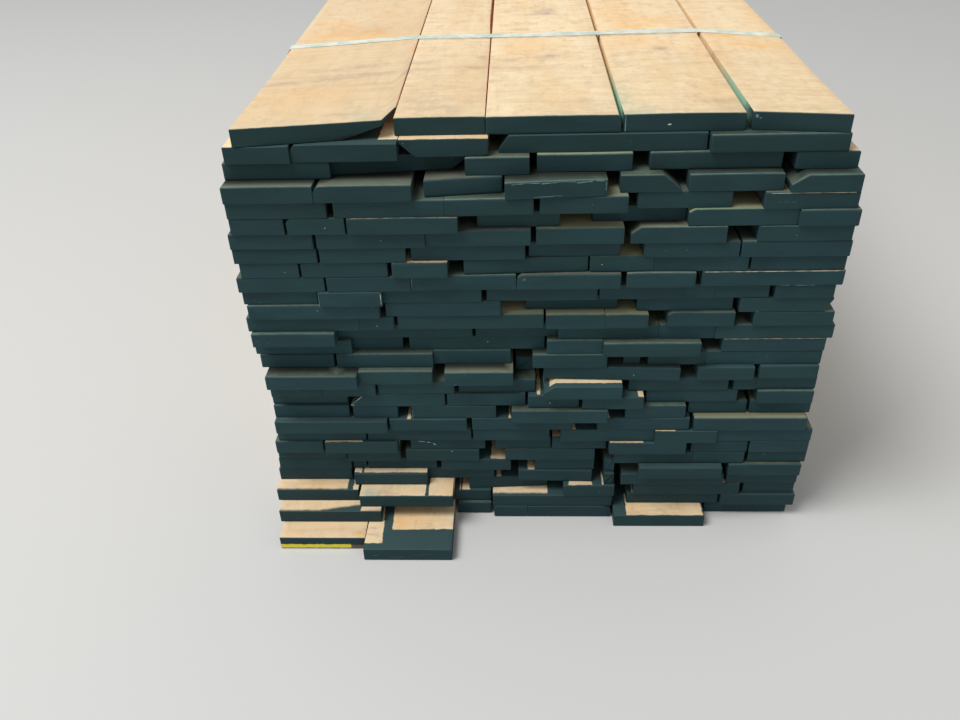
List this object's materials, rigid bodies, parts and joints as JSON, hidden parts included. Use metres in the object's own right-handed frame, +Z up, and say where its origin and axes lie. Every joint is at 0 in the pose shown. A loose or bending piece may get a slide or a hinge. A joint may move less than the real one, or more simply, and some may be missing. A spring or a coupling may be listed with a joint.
{
  "type": "stack of lumber",
  "caption": "Strapped stack of rough hardwood boards in level courses, with dark sealed board ends that stand forward by uneven amounts.",
  "frame": {"origin": "on the floor, under the middle of the stack's bounding box", "axes": "+Y along the boards, away from the end that the picture shows; +X to the right of that end; +Z up"},
  "size_m": [1.0218, 3.204, 0.8138],
  "materials": {
    "board": "rough sawn, sealed ends",
    "strap": "embossed band"
  },
  "bodies": {
    "root": {"course_01": "board", "course_02": "board", "course_03": "board", "course_04": "board", "course_05": "board", "course_06": "board", "course_07": "board", "course_08": "board", "course_09": "board", "course_10": "board", "course_11": "board", "course_12": "board", "course_13": "board", "course_14": "board", "course_15": "board", "course_16": "board", "course_17": "board", "course_18": "board", "course_19": "board", "course_20": "board", "course_21": "board", "course_22": "board", "course_23": "board", "course_24": "board", "course_25": "board", "course_26": "board", "course_27": "board", "course_28": "board", "course_29": "board", "strap_near": "strap", "strap_far": "strap"}
  },
  "joints": []
}
